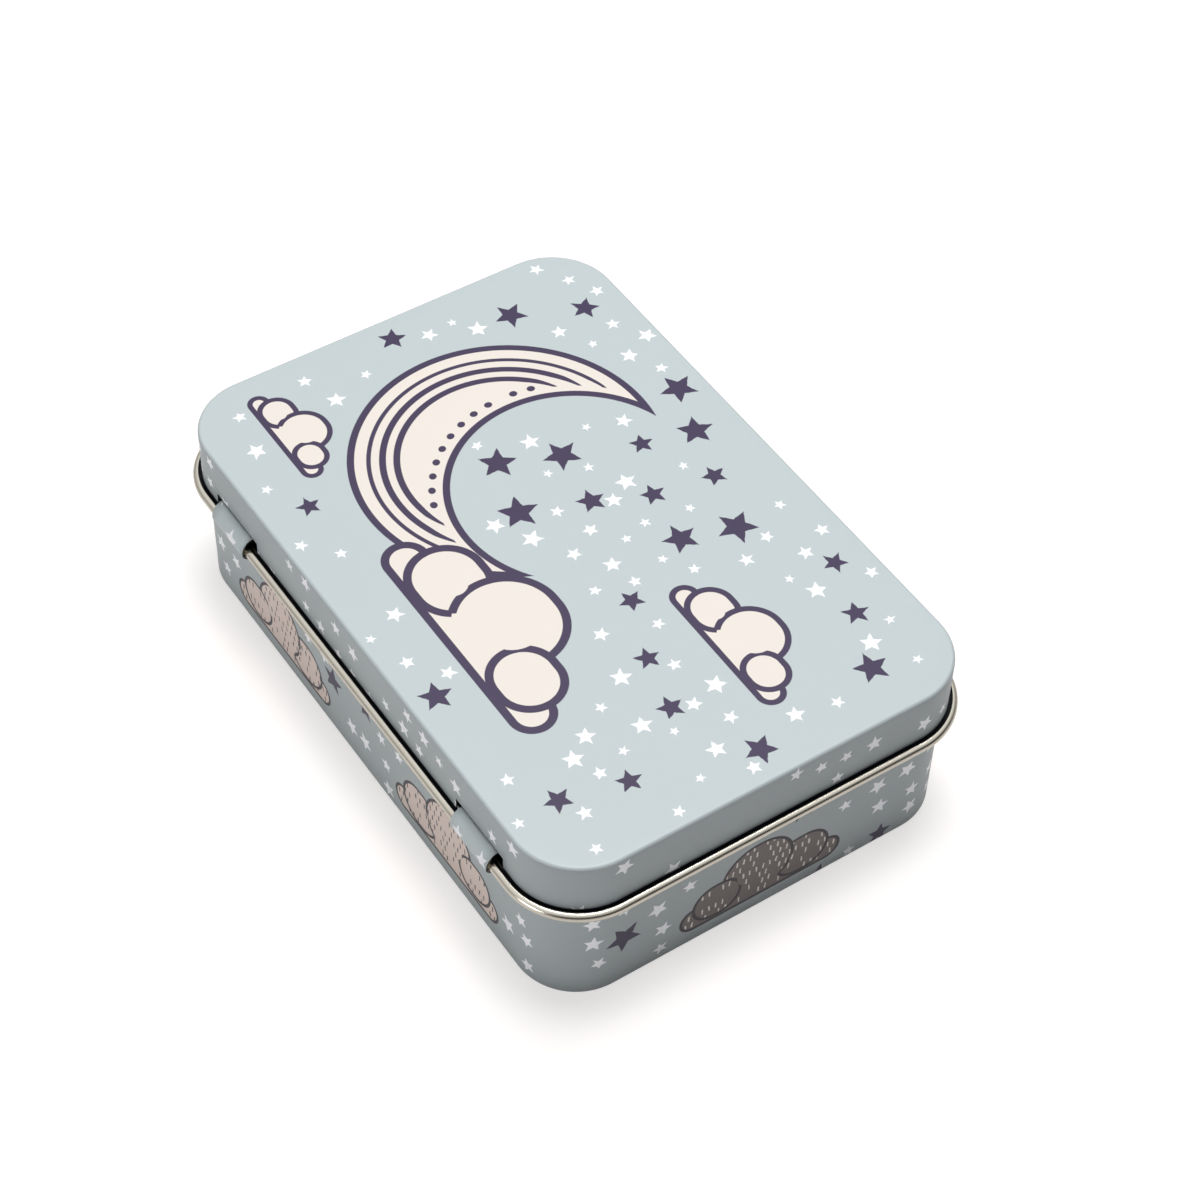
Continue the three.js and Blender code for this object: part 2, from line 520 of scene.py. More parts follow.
@dataclass(frozen=True)
class PrintFinish:
    """Satin print and varnish on the outside of the tinplate."""

    plan: SheetPlan
    name: str = "print"
    ground: Colour = linear(192, 202, 204)
    # Painted shade: the walls' ground is darker than the panel's, standing in for the shade that falls on
    # the walls
    shaded_wall_ground: Colour = linear(170, 178, 181)
    navy: Colour = linear(60, 50, 78)
    white: Colour = linear(251, 251, 255)
    cream: Colour = linear(232, 224, 216)
    navy_share: float = 0.72
    large_stars: StarField = StarField(11.0, 1.2, 2.1, 3.6)
    small_stars: StarField = StarField(6.2, 1.2, 0.85, 1.9, turn=-0.5)
    wall_stars: StarField = StarField(5.8, 1.0, 1.2, 1.9, turn=0.16)
    star_room: float = 0.4
    edge_room: float = 0.2
    # Where the walls' painted shade begins outside the panel's edge, and how soft its edge is
    wall_from: float = 0.4
    wall_soft: float = 0.3
    cloudy_shade: float = 0.955
    cloudy_scale: float = 0.03
    grain_scale: float = 1.6
    wave_scale: float = 0.06
    roughness: float = 0.42

    def motifs(self, graph: Graph, place: Socket) -> Num:
        """Return the signed distance to the nearest motif, which no star overlaps."""
        raise NotImplementedError

    def picture(self, graph: Graph, sheet: Socket) -> Socket:
        """Return the colour of the printed face."""
        raise NotImplementedError

    def sheet(self, graph: Graph) -> Socket:
        """Return the place on the flat sheet."""
        flat = graph.node("UVMap", uv_map=PRINT_MAP).outputs[0]
        return graph.vector("MULTIPLY", flat, (1 / MM, 1 / MM, 0.0))

    def wall_shade(self, graph: Graph, sheet: Socket) -> Num:
        """Return 1 on the walls, where the ground is painted darker as shade."""
        return 1.0 - self.plan.down(graph, sheet).below(self.wall_from, self.wall_soft)

    def ground_colour(self, graph: Graph, sheet: Socket) -> Socket:
        """Tint the panel, and the walls darker as painted shade, with the faint cloudiness of a printed
        flat colour.

        Args:
            graph: the material's nodes.
            sheet: the place on the flat sheet.

        Returns:
            The colour of the ground.
        """
        wall_shade = self.wall_shade(graph, sheet)
        shades = []
        for share in (1.0, self.cloudy_shade):
            panel, wall = (tuple(c * share for c in ground) for ground in (self.ground, self.shaded_wall_ground))
            shades.append(graph.paint(wall_shade, panel, wall))
        return graph.paint(graph.noise(sheet, self.cloudy_scale) * 0.5 + 0.5, *shades)

    def clear(self, graph: Graph, stars: Stars) -> Num:
        """Return 1 where a star's middle lies far enough from motifs and from cuts in the print."""
        room = self.motifs(graph, stars.middle).least(self.plan.seam(graph, stars.middle))
        return 1.0 - (room < stars.reach + self.star_room)

    def scatter(self, graph: Graph, sheet: Socket, under: Plain) -> Socket:
        """Paint the large navy stars, and small white ones clear of those.

        The white stars of the panel and those of the walls are two layers, and each star belongs to the
        one that its middle lies on.

        Args:
            graph: the material's nodes.
            sheet: the place on the flat sheet.
            under: the colour that they lie on.

        Returns:
            The colour with the stars.
        """
        colour = under
        for field_of_stars, on_wall in ((self.small_stars, False), (self.wall_stars, True)):
            small = field_of_stars.at(graph, sheet)
            beside = self.large_stars.at(graph, small.middle)
            taken = (beside.edge < small.reach + self.star_room) * (beside.pick < self.navy_share)
            outside = self.plan.down(graph, small.middle)
            here = small.reach + self.edge_room < (outside if on_wall else -outside)
            shown = self.clear(graph, small) * (1.0 - taken) * here
            colour = graph.paint(small.edge.below(0.0) * shown, colour, self.white)
        large = self.large_stars.at(graph, sheet)
        shown = self.clear(graph, large) * (large.pick < self.navy_share)
        return graph.paint(large.edge.below(0.0) * shown, colour, self.navy)

    def make(self) -> bpy.types.Material:
        """Put the picture under a satin varnish with a faint unevenness.

        Returns:
            The material.
        """
        graph = Graph(bpy.data.materials.new(self.name))
        sheet = self.sheet(graph)
        fine = graph.noise(sheet, self.grain_scale)
        slow = graph.noise(sheet, self.wave_scale)
        return graph.surface({
            "Base Color": self.picture(graph, sheet),
            "Roughness": fine * 0.05 + slow * 0.08 + self.roughness,
            "Metallic": 0.0,
            "Specular IOR Level": 0.25,
            "Coat Weight": 0.08,
            "Coat Roughness": 0.25,
            "Normal": graph.bump(fine * 0.35 + slow * 6.0, 0.00004, 0.35),
        })


@dataclass(frozen=True)
class LidPrint(PrintFinish):
    """Print of the lid: a crescent moon and clouds among stars, seen from the hinge side, and painted shade
    in the groove.
    """

    name: str = "printed_lid"
    moon: Moon = Moon()
    cloud: Cloud = Cloud()
    clouds: tuple[Triple, ...] = ((9.0, -28.0, 1.25), (32.0, 6.0, 0.78), (-42.5, -28.5, 0.6))
    outline: float = 1.2
    wall_stars: StarField = StarField(5.0, 0.7, 1.15, 1.75, turn=0.16)
    # Painted shade: from this far outside the panel on the flat sheet, a dark band over the foot of the
    # wall and the inside of the curl stands in for the shade in the narrow groove
    groove_shade_from: float = 9.8
    groove_shade_soft: float = 0.15
    groove_shade: Colour = linear(44, 46, 52)

    def art(self, graph: Graph, place: Socket) -> Socket:
        """Return the place on the picture, which stands the other way up from the sheet."""
        return graph.vector("MULTIPLY", place, (-1.0, -1.0, 0.0))

    def motifs(self, graph: Graph, place: Socket) -> Num:
        """Work out the room to the moon and the clouds.

        Args:
            graph: the material's nodes.
            place: the place on the flat sheet.

        Returns:
            The signed distance to the nearest of them.
        """
        art = self.art(graph, place)
        nearest = self.moon.edge(graph, art)
        for where in self.clouds:
            nearest = nearest.least(self.cloud.whole(self.cloud.edges(graph, art, *where)))
        return nearest

    def clear(self, graph: Graph, stars: Stars) -> Num:
        """Leave the large stars out on the walls and over the panel's edges too.

        Args:
            graph: the material's nodes.
            stars: the star of each cell.

        Returns:
            The mask, 1 where the star may stay.
        """
        shown = super().clear(graph, stars)
        on_panel = self.plan.down(graph, stars.middle) + stars.reach < 0.0
        small = stars.reach < self.large_stars.smallest
        return shown * on_panel.most(small)

    def picture(self, graph: Graph, sheet: Socket) -> Socket:
        """Paint the stars, then the moon, then the clouds in front of it, and last a dark band of painted
        shade over the foot of the wall and the inside of the curl.

        Args:
            graph: the material's nodes.
            sheet: the place on the flat sheet.

        Returns:
            The colour of the printed face.
        """
        pen = Pen(self.navy, self.cream, self.outline)
        art = self.art(graph, sheet)
        colour = self.scatter(graph, sheet, self.ground_colour(graph, sheet))
        colour = self.moon.paint(graph, art, colour, pen)
        for where in self.clouds:
            colour = self.cloud.paint(graph, self.cloud.edges(graph, art, *where), colour, pen, where[2])
        # Painted shade of the groove, over everything below it
        inside = 1.0 - self.plan.down(graph, sheet).below(self.groove_shade_from, self.groove_shade_soft)
        return graph.paint(inside, colour, self.groove_shade)


@dataclass(frozen=True)
class BasePrint(PrintFinish):
    """Print of the base: stars, and a hatched cloud on each half of the long walls and each short wall."""

    name: str = "printed_base"
    navy_share: float = 0.34
    pale: Colour = linear(222, 204, 195)
    dusky: Colour = linear(116, 107, 105)
    ink: Colour = linear(58, 52, 58)
    cloud: Cloud = Cloud()
    cloud_size: float = 0.86
    from_middle: float = 25.0
    foot: float = 3.2
    outline: float = 0.62
    row: float = 1.9
    pitch: float = 1.25
    row_shift: float = 0.57
    stroke_half: tuple[float, float] = (0.14, 0.6)
    stroke_share: float = 0.6
    sway: float = 0.6
    sway_scale: float = 0.7
    # The walls' painted shade stops here, below the lid; the wall under the lid and the tabs keep the
    # panel's ground
    under_lid: float = 22.6
    under_lid_soft: float = 0.8

    def on_short(self, graph: Graph, sheet: Socket) -> Num:
        """Return 1 on the two short walls."""
        x, y, _ = graph.split(sheet)
        return abs(y) - self.plan.edge_y < abs(x) - self.plan.edge_x

    def wall_place(self, graph: Graph, sheet: Socket) -> Socket:
        """Find the place on a wall.

        Args:
            graph: the material's nodes.
            sheet: the place on the flat sheet.

        Returns:
            How far it lies along from a cloud's middle, and up from the bottom edge.
        """
        x, y, _ = graph.split(sheet)
        along = abs(x) - self.from_middle
        return graph.join(along + self.on_short(graph, sheet) * (y - along), self.plan.down(graph, sheet))

    def motifs(self, graph: Graph, place: Socket) -> Num:
        """Return the signed distance to the nearest cloud."""
        where = (0.0, self.foot, self.cloud_size)
        return self.cloud.whole(self.cloud.edges(graph, self.wall_place(graph, place), *where))

    def wall_shade(self, graph: Graph, sheet: Socket) -> Num:
        """Return 1 where the walls' painted shade lies: below the lid, so the wall under the lid and the
        tabs keep the panel's paler ground.
        """
        seen = self.plan.down(graph, sheet).below(self.under_lid, self.under_lid_soft)
        return super().wall_shade(graph, sheet) * seen

    def picture(self, graph: Graph, sheet: Socket) -> Socket:
        """Paint the stars, then the clouds: pale with dark strokes on long walls, the reverse on short.

        Args:
            graph: the material's nodes.
            sheet: the place on the flat sheet.

        Returns:
            The colour of the printed face.
        """
        wall = self.wall_place(graph, sheet)
        short = self.on_short(graph, sheet)
        strokes = self.strokes(graph, wall)
        fill = graph.paint(short, self.pale, self.dusky)
        fill = graph.paint(strokes, fill, graph.paint(short, self.ink, self.cream))
        colour = self.scatter(graph, sheet, self.ground_colour(graph, sheet))
        edges = self.cloud.edges(graph, wall, 0.0, self.foot, self.cloud_size)
        return self.cloud.paint(graph, edges, colour, Pen(self.ink, fill, self.outline), self.cloud_size)

    def strokes(self, graph: Graph, wall: Socket) -> Num:
        """Draw short upright strokes in rows that are moved along by steps, with some left out.

        Args:
            graph: the material's nodes.
            wall: the place on the wall.

        Returns:
            The mask, 1 on a stroke.
        """
        x, y, _ = graph.split(wall)
        level = (y / self.row).math("FLOOR")
        moved = x + level * self.row_shift + graph.noise(wall, self.sway_scale) * self.sway
        along = abs(moved % self.pitch - self.pitch / 2)
        up = abs(y % self.row - self.row / 2)
        chance, _, _ = graph.split(graph.chance(graph.join((moved / self.pitch).math("FLOOR"), level)))
        half_width, half_height = self.stroke_half
        return along.below(half_width) * up.below(half_height) * (chance < self.stroke_share)


@dataclass(frozen=True)
class BareTinFinish:
    """Bare tinplate on the inside and along the rolled edges, with faint streaks of the drawing."""

    name: str = "bare_tinplate"
    colour: Colour = linear(214, 209, 196)
    dull: Colour = linear(198, 192, 180)
    streak_scale: Triple = (1400.0, 1400.0, 60.0)
    mottle_scale: float = 160.0
    roughness: float = 0.24

    def make(self) -> bpy.types.Material:
        """Streak the tin, upright on the walls.

        Returns:
            The material.
        """
        graph = Graph(bpy.data.materials.new(self.name))
        place = graph.place()
        streaks = graph.noise(graph.vector("MULTIPLY", place, self.streak_scale), 1.0)
        mottle = graph.noise(place, self.mottle_scale)
        return graph.surface({
            "Base Color": graph.paint(mottle + 0.5, self.colour, self.dull),
            "Metallic": 1.0,
            "Roughness": streaks * 0.02 + mottle * 0.06 + self.roughness,
            "Normal": graph.bump(streaks, 0.00001, 0.02),
        })


@dataclass(frozen=True)
class CutEdgeFinish:
    """Raw steel on the sheet's cut edges, painted darker than the steel as shade for the thin gaps beside
    them, with random darker marks.
    """

    name: str = "cut_steel_and_gap_shade"
    # Partly raw steel, partly painted shade: dark, so that the cut edges at the tab ends and slots read as
    # shaded gaps
    colour: Colour = linear(104, 99, 95)
    dull: Colour = linear(64, 60, 57)
    mark_scale: float = 2500.0
    roughness: float = 0.5

    def make(self) -> bpy.types.Material:
        """Mark the steel with the short marks of the shear.

        Returns:
            The material.
        """
        graph = Graph(bpy.data.materials.new(self.name))
        marks = graph.noise(graph.place(), self.mark_scale)
        return graph.surface({
            "Base Color": graph.paint(marks + 0.5, self.colour, self.dull),
            "Metallic": 1.0,
            "Roughness": marks * 0.2 + self.roughness,
        })


# Shapes of the sheet

Profile = tuple[np.ndarray, np.ndarray]


def unit(vectors: np.ndarray) -> np.ndarray:
    """Return rows of vectors at a length of 1."""
    return vectors / np.linalg.norm(vectors, axis=1, keepdims=True)


def corners(grid: np.ndarray, after: np.ndarray) -> np.ndarray:
    """Return the corners of each cell between rows of stations and the same rows at the next stations."""
    return np.stack((grid[:-1], grid[1:], after[1:], after[:-1]), axis=2)


def oval(x: float, z: float, radii: tuple[float, float], start: float, end: float, step: float) -> Profile:
    """Points of a bend: the centre plus the radii times cosine and sine of an even run of angles.

    Args:
        x: the centre's offset.
        z: the centre's height.
        radii: how far the sheet's middle lies from it, outward and up.
        start: the first angle, in degrees from outward towards up.
        end: the last angle.
        step: the largest angle between points.

    Returns:
        The points and, at each, the unit vector along which the bend runs.
    """
    angles = np.radians(np.linspace(start, end, int(abs(end - start) / step) + 2))
    round_points = np.column_stack((np.cos(angles), np.sin(angles)))
    along = np.column_stack((-np.sin(angles), np.cos(angles))) * radii
    return (x, z) + round_points * radii, unit(along) * math.copysign(1.0, end - start)


def arc(x: float, z: float, radius: float, start: float, end: float, step: float = 7.0) -> Profile:
    """Points of a round bend, as for an oval of two equal radii."""
    return oval(x, z, (radius, radius), start, end, step)


def upright(x: float, heights: np.ndarray) -> Profile:
    """Points of a straight wall at those heights, run in their order."""
    sense = math.copysign(1.0, heights[-1] - heights[0])
    return np.column_stack((np.full_like(heights, x), heights)), np.tile((0.0, sense), (len(heights), 1))


def run_length(points: np.ndarray) -> np.ndarray:
    """Return how far a profile has run at each of its points."""
    return np.concatenate(([0.0], np.cumsum(np.linalg.norm(np.diff(points, axis=0), axis=1))))


def chain(*runs: Profile) -> Profile:
    """Join runs of a profile end to end."""
    return tuple(np.concatenate(parts) for parts in zip(*runs))


@dataclass(frozen=True)
class SheetSizes:
    """Sizes of both pressings, taken from the frame and from the sheet that they are pressed from."""

    half_length: float
    half_width: float
    height: float
    hinge_out: float
    hinge_up: float
    base_out: float
    base_top: float
    sheet: float = 0.28 * MM
    corner: float = 11.4 * MM
    lid_bend: float = 0.65 * MM
    base_bend: float = 0.6 * MM
    curl_sweep: float = 270.0
    hem: float = 0.5 * MM
    hem_sweep: float = 270.0
    hem_step: float = 12.0
    tab_places: tuple[float, float] = (-36.9 * MM, 36.9 * MM)
    tab_width: float = 10.1 * MM
    tab_relief: float = 0.35 * MM
    tab_radius: float = 1.255 * MM
    tab_start: float = -40.0
    tab_rise: float = 2.6 * MM
    tab_step: float = 6.9
    tab_tuck: float = 0.75 * MM
    tab_tuck_end: float = 175.0
    flare_drop: float = 3.2 * MM
    flare_ease: float = 1.3 * MM
    flare_rows: int = 14
    slot_side: float = 1.5 * MM
    slot_sill: float = 0.3 * MM
    slot_top: float = 3.04 * MM
    window_side: float = 2.9 * MM
    window_drop: float = 0.5 * MM

    @classmethod
    def from_frame(cls) -> SheetSizes:
        """Measure the CAD: the curl stands as far out as it is thick, about the hinge.

        Returns:
            The sizes.
        """
        lid_low, lid_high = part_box("lid")
        base_low, base_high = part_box("base")
        hinge = frame["joints"][0]["pos_m"]
        curl = -lid_low.y - hinge[1] - cls.sheet / 2
        half_width = -lid_low.y - 2 * curl
        return cls(
            half_length=lid_high.x - 2 * curl,
            half_width=half_width,
            height=lid_high.z,
            hinge_out=hinge[1] - half_width,
            hinge_up=hinge[2],
            base_out=-base_low.y - half_width,
            base_top=base_high.z,
        )

    @property
    def curl(self) -> float:
        """Radius of the middle of the lid's curl, which runs on from the middle of its wall."""
        return self.hinge_out + self.sheet / 2

    def cut_edges(self) -> np.ndarray:
        """Find where a slot, a window or a tab has its edge.

        Returns:
            The places along the back wall.
        """
        reach = np.array((self.slot_side, self.window_side, self.tab_relief, 0.0)) + self.tab_width / 2
        spread = np.concatenate((reach, -reach))
        return np.concatenate([place + spread for place in self.tab_places])


@dataclass
class Outline:
    """Stations round the lid's rounded rectangle, anticlockwise from above, starting on the back wall.

    Each cell between a station and the next belongs to the print of one wall, which runs on round the
    corner as far as its middle. The cell keeps that wall's facing and its own two ends along the wall.
    """

    sizes: SheetSizes
    corner_steps: int = 22
    wall_step: float = 3.0 * MM
    place: np.ndarray = field(init=False)
    normal: np.ndarray = field(init=False)
    facing: np.ndarray = field(init=False)
    ends: np.ndarray = field(init=False)

    def __post_init__(self) -> None:
        """Work out the stations: straight runs between quarter rounds about the four corner centres."""
        s = self.sizes
        inner_x = s.half_length - s.corner
        inner_y = s.half_width - s.corner
        even_x = np.linspace(inner_x, -inner_x, int(2 * inner_x / self.wall_step))[1:-1]
        even_y = np.linspace(inner_y, -inner_y, int(2 * inner_y / self.wall_step))[1:-1]
        back = np.sort(np.concatenate((even_x, s.cut_edges())))[::-1]
        quarter = np.linspace(0.0, math.pi / 2, self.corner_steps + 1)
        walls = ((back, (0, 1)), (even_y, (-1, 0)), (-even_x, (0, -1)), (-even_y, (1, 0)))
        reach = (inner_x, inner_y, inner_x, inner_y)
        sense = (-1, -1, 1, 1)
        runs, charts = [], []
        for turn, (along, facing) in enumerate(walls):
            after = (turn + 1) % len(walls)
            out = np.tile(facing, (len(along), 1)).astype(float)
            flat = np.column_stack((along, np.full_like(along, s.half_width * facing[1])))
            if facing[0]:
                flat = np.column_stack((np.full_like(along, s.half_length * facing[0]), along))
            angles = quarter + math.pi / 2 * (turn + 1)
            round_out = np.column_stack((np.cos(angles), np.sin(angles)))
            middle = np.sign(round_out[self.corner_steps // 2]) * (inner_x, inner_y)
            runs += [(flat, out), (middle + s.corner * round_out, round_out)]
            past = sense[turn] * (reach[turn] + s.corner * quarter)
            before = -sense[after] * (reach[after] + s.corner * quarter[::-1])
            later = np.arange(self.corner_steps + 1) >= self.corner_steps // 2
            charts += [
                np.column_stack((along, along, np.full_like(along, turn), np.zeros_like(along))),
                np.column_stack((past, before, np.where(later, after, turn), later)),
            ]
        self.place, self.normal = chain(*runs)
        own, following, wall, later = np.concatenate(charts).T
        here = np.where(later, following, own)
        there = np.where(later, np.roll(following, -1), np.roll(own, -1))
        self.facing = np.array([facing for _, facing in walls], float)[wall.astype(int)]
        self.ends = np.column_stack((here, there))

    def on_back(self, x_low: float, x_high: float) -> np.ndarray:
        """Find the stations of the back wall between two places along it.

        Args:
            x_low: the first place.
            x_high: the last place.

        Returns:
            The numbers of the stations.
        """
        x = self.place[:, 0]
        between = (x > x_low - NEAR) & (x < x_high + NEAR)
        return np.flatnonzero((self.normal[:, 1] > 1 - NEAR) & between)


@dataclass
class Sheet:
    """A sheet's middle as arrays: points, normals on the printed side, faces, and their flat places."""

    points: np.ndarray
    normals: np.ndarray
    quads: np.ndarray
    tris: np.ndarray
    quad_flat: np.ndarray
    tri_flat: np.ndarray

    def edge_pairs(self) -> np.ndarray:
        """Find the free edges, which only one face has.

        Returns:
            The two points of each, in the order of its face.
        """
        pairs = [np.stack((f, np.roll(f, -1, axis=1)), axis=2) for f in (self.quads, self.tris)]
        edges = np.concatenate([pair.reshape(-1, 2) for pair in pairs])
        key = edges.min(axis=1) * len(self.points) + edges.max(axis=1)
        _, where, count = np.unique(key, return_inverse=True, return_counts=True)
        return edges[count[where] == 1]

    def make(self, name: str, thickness: float) -> bpy.types.Object:
        """Give the sheet its thickness and put it into the scene.

        Each point goes half the thickness to both sides along its normal, the bare side has the same
        faces turned round, and a strip closes the two sides along each free edge.

        Args:
            name: the object's name.
            thickness: the sheet's thickness.

        Returns:
            The new object.
        """
        count = len(self.points)
        half = self.normals * thickness / 2
        points = np.concatenate((self.points + half, self.points - half))
        first, second = self.edge_pairs().T
        strip = np.column_stack((second, first, first + count, second + count))
        groups = (self.quads, self.tris, self.quads[:, ::-1] + count, self.tris[:, ::-1] + count, strip)
        kinds = (Face.PRINTED, Face.PRINTED, Face.BARE, Face.BARE, Face.CUT)
        mesh = bpy.data.meshes.new(name)
        mesh.from_pydata(points.tolist(), [], [f for group in groups for f in group.tolist()])
        slots = np.concatenate([np.full(len(g), k, np.int32) for g, k in zip(groups, kinds)])
        mesh.polygons.foreach_set("material_index", slots)
        mesh.polygons.foreach_set("use_smooth", slots != Face.CUT)
        flat = np.zeros((len(mesh.loops), 2), np.float32)
        printed = np.concatenate((self.quad_flat.reshape(-1, 2), self.tri_flat.reshape(-1, 2)))
        flat[:len(printed)] = printed
        mesh.uv_layers.new(name=PRINT_MAP).data.foreach_set("uv", flat.ravel())
        mesh.update()
        return add_object(name, mesh)


@dataclass
class Pressing:
    """A drawn cup of tinplate: a profile carried round the outline from the edge of a flat panel."""

    sizes: SheetSizes
    outline: Outline
    name: str
    body: str
    printed_slot: str
    wall: Wall
    wall_rows: int = 3
    panel_rings: tuple[float, ...] = (0.25, 0.5, 0.75, 0.97)

    def profile(self) -> Profile:
        """Return the profile of the sheet's middle, from the panel's edge to the rolled edge."""
        raise NotImplementedError

    def cuts(self, heights: np.ndarray) -> list[tuple[np.ndarray, float]]:
        """Return the cuts at each tab: the rows of cells that go, and how far past the tab's sides."""
        raise NotImplementedError

    def keep(self, heights: np.ndarray) -> np.ndarray:
        """Take the cuts out of the sheet.

        Args:
            heights: the height of each row of points.

        Returns:
            Which cells between rows and stations are left.
        """
        kept = np.ones((len(heights) - 1, len(self.outline.place)), bool)
        for rows, side in self.cuts(heights):
            reach = self.sizes.tab_width / 2 + side
            for place in self.sizes.tab_places:
                columns = self.outline.on_back(place - reach, place + reach)[:-1]
                kept[np.ix_(rows, columns)] = False
        return kept

    def flat_cells(self, section: np.ndarray, panel: np.ndarray) -> np.ndarray:
        """Lay the cells out on the flat sheet.

        On the panel a point lies where it is. On a wall it lies as far outside the panel's edge as the
        profile has run, and as far along the wall as its station.

        Args:
            section: the profile's points.
            panel: the points of the panel's rings.

        Returns:
            The places of each cell's four corners, by row and station.
        """
        size = np.array((self.sizes.half_length, self.sizes.half_width)) + section[0, 0]
        facing = self.outline.facing
        out = np.abs(facing) @ size + run_length(section)[:, None]
        across = np.abs(facing[:, ::-1])
        here, there = (facing * out[..., None] + across * end[:, None] for end in self.outline.ends.T)
        return np.concatenate((corners(panel, np.roll(panel, -1, axis=1)), corners(here, there)))

    def sheet(self) -> Sheet:
        """Carry the profile round the outline, and cut it.

        A row's point is the station's place plus its normal times the profile's offset, at the profile's
        height. The panel's rows are its edge shrunk towards the middle.

        Returns:
            The sheet.
        """
        section, run = self.profile()
        place, normal = self.outline.place, self.outline.normal
        stations = len(place)
        rings = np.array((*self.panel_rings, 1.0))
        panel = (place + normal * section[0, 0]) * rings[:, None, None]
        swept = place + normal * section[:, None, None, 0]
        heights = np.concatenate((np.full(len(rings) - 1, section[0, 1]), section[:, 1]))
        side = np.column_stack((-run[:, 1], run[:, 0])) * self.wall
        side = np.concatenate((np.tile((0.0, side[0, 1]), (len(rings) - 1, 1)), side))
        out = normal * side[:, None, None, 0]
        flat_points = np.concatenate((panel[:-1], swept)).reshape(-1, 2)
        points = np.column_stack((flat_points, np.repeat(heights, stations)))
        normals = np.column_stack((out.reshape(-1, 2), np.repeat(side[:, 1], stations)))
        index = np.arange(len(points)).reshape(-1, stations)
        after = np.roll(index, -1, axis=1)
        cells = corners(index, after)
        tris = np.column_stack((np.full(stations, len(points)), index[0], after[0]))
        tri_flat = np.stack((np.zeros_like(place), panel[0], np.roll(panel[0], -1, axis=0)), axis=1)
        kept = self.keep(heights)
        order = slice(None, None, int(self.wall))
        return Sheet(
            np.concatenate((points, ((0.0, 0.0, section[0, 1]),))),
            np.concatenate((normals, ((0.0, 0.0, side[0, 1]),))),
            cells[kept][:, order],
            tris[:, order],
            self.flat_cells(section, panel)[kept][:, order],
            tri_flat[:, order],
        )

    def build(self) -> bpy.types.Object:
        """Make the piece, in place of the CAD node of its name and on the same body.

        Returns:
            The new object.
        """
        made = self.sheet().make(f"{self.name}_sheet", self.sizes.sheet)
        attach(made, self.body)
        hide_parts(self.name)
        log.info("%s: %d points, %d faces", made.name, len(made.data.vertices), len(made.data.polygons))
        return made

    def dress(self, piece: bpy.types.Object, finishes: dict[Face, bpy.types.Material]) -> None:
        """Put the print on the outside, bare tin on the inside and raw steel on the cut edges.

        Args:
            piece: the object.
            finishes: the material of each kind of face.
        """
        for face in Face:
            piece.data.materials.append(finishes[face])
        log.info("%s: dressed in %s", piece.name, ", ".join(finishes[face].name for face in Face))

    def plan(self) -> SheetPlan:
        """Lay out the flat sheet, in millimetres.

        Returns:
            The layout.
        """
        s = self.sizes
        inset = self.profile()[0][0, 0]
        values = (s.half_length + inset, s.half_width + inset, s.corner + inset, s.corner)
        return SheetPlan(*(value / MM for value in values))


@dataclass
class Lid(Pressing):
    """The lid: panel, rounded edge, wall and curl, with a slot over the curl for each hinge tab."""

    name: str = "lid"
    body: str = "lid"
    printed_slot: str = "printed_lid"
    wall: Wall = Wall.PRINT_ON_LEFT
    wall_rows: int = 4

    def profile(self) -> Profile:
        """Run outward over the panel's edge, down the wall and round the open curl.

        Returns:
            The profile of the sheet's middle.
        """
        s = self.sizes
        middle = -s.sheet / 2
        top = s.height - s.lid_bend
        cuts = s.hinge_up + np.array((s.slot_top, s.slot_sill))
        heights = np.concatenate((np.linspace(top, cuts[0], self.wall_rows + 1)[1:], cuts[1:]))
        return chain(
            arc(-s.lid_bend, top, s.lid_bend - s.sheet / 2, 90.0, 0.0),
            upright(middle, heights),
            arc(s.hinge_out, s.hinge_up, s.curl, 180.0, 180.0 + s.curl_sweep),
        )

    def cuts(self, heights: np.ndarray) -> list[tuple[np.ndarray, float]]:
        """Cut the slots, which take the wall's rows between sill and top.

        Args:
            heights: the height of each row of points.

        Returns:
            The rows of cells that go, and how far past the tab's sides.
        """
        s = self.sizes
        middle = (heights[:-1] + heights[1:]) / 2 - s.hinge_up
        wall_rows = np.arange(len(middle)) < np.argmin(heights)
        return [(wall_rows & (middle > s.slot_sill) & (middle < s.slot_top), s.slot_side)]


